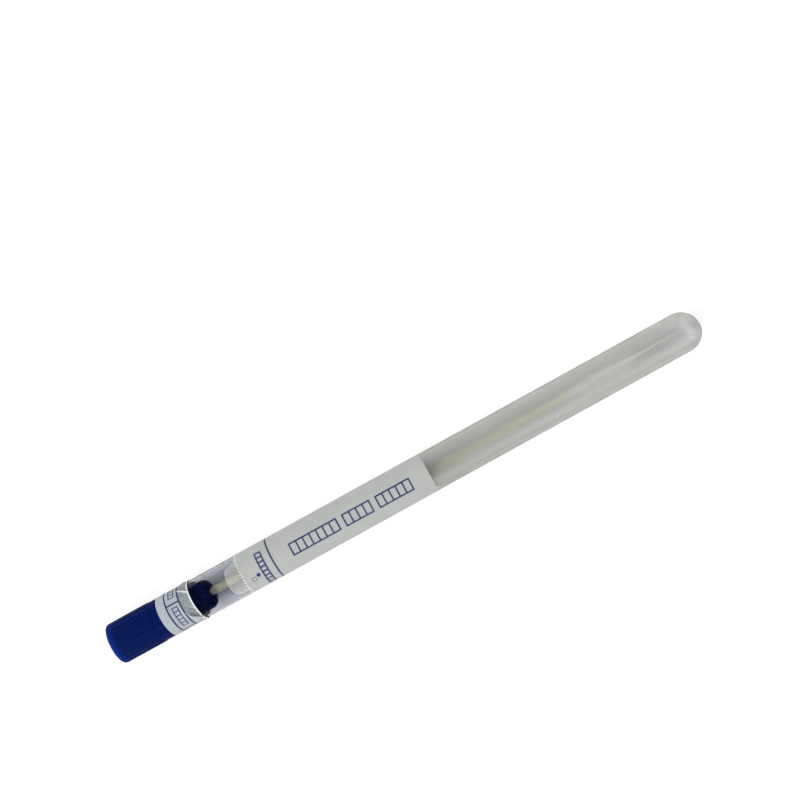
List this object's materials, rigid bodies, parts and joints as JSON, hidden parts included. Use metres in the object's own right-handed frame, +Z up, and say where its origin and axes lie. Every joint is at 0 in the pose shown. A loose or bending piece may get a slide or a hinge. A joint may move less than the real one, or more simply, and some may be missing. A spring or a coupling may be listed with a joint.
{
  "type": "specimen swab tube",
  "caption": "Round-ended frosted tube with a ribbed blue stopper that carries a cotton swab on a wooden stick, sealed and labelled with printed film.",
  "frame": {"origin": "under the middle of the object, on the surface that it lies on", "axes": "+X along the tube from the stopper to the round end, +Z up"},
  "size_m": [0.1736, 0.0112, 0.0111],
  "materials": {
    "polypropylene": "natural, clear at the mouth and frosted along the body",
    "blue_polyethylene": "satin as moulded",
    "birch": "bare, sanded",
    "cotton": "wound fibre",
    "seal_film": "thin film, white print at one end and clear at the other",
    "label_film": "satin white film with navy ruling"
  },
  "bodies": {
    "tube_and_label": {"tube": "polypropylene", "tube_label": "label_film"},
    "stopper_and_swab": {"cap": "blue_polyethylene", "swab_stick": "birch", "cotton_bud": "cotton", "seal_strip": "seal_film"}
  },
  "joints": [
    {"name": "stopper_pull", "type": "slide", "parent": "tube_and_label", "child": "stopper_and_swab", "axis": [-1, 0, 0], "range_m": [0, 0.15]}
  ]
}
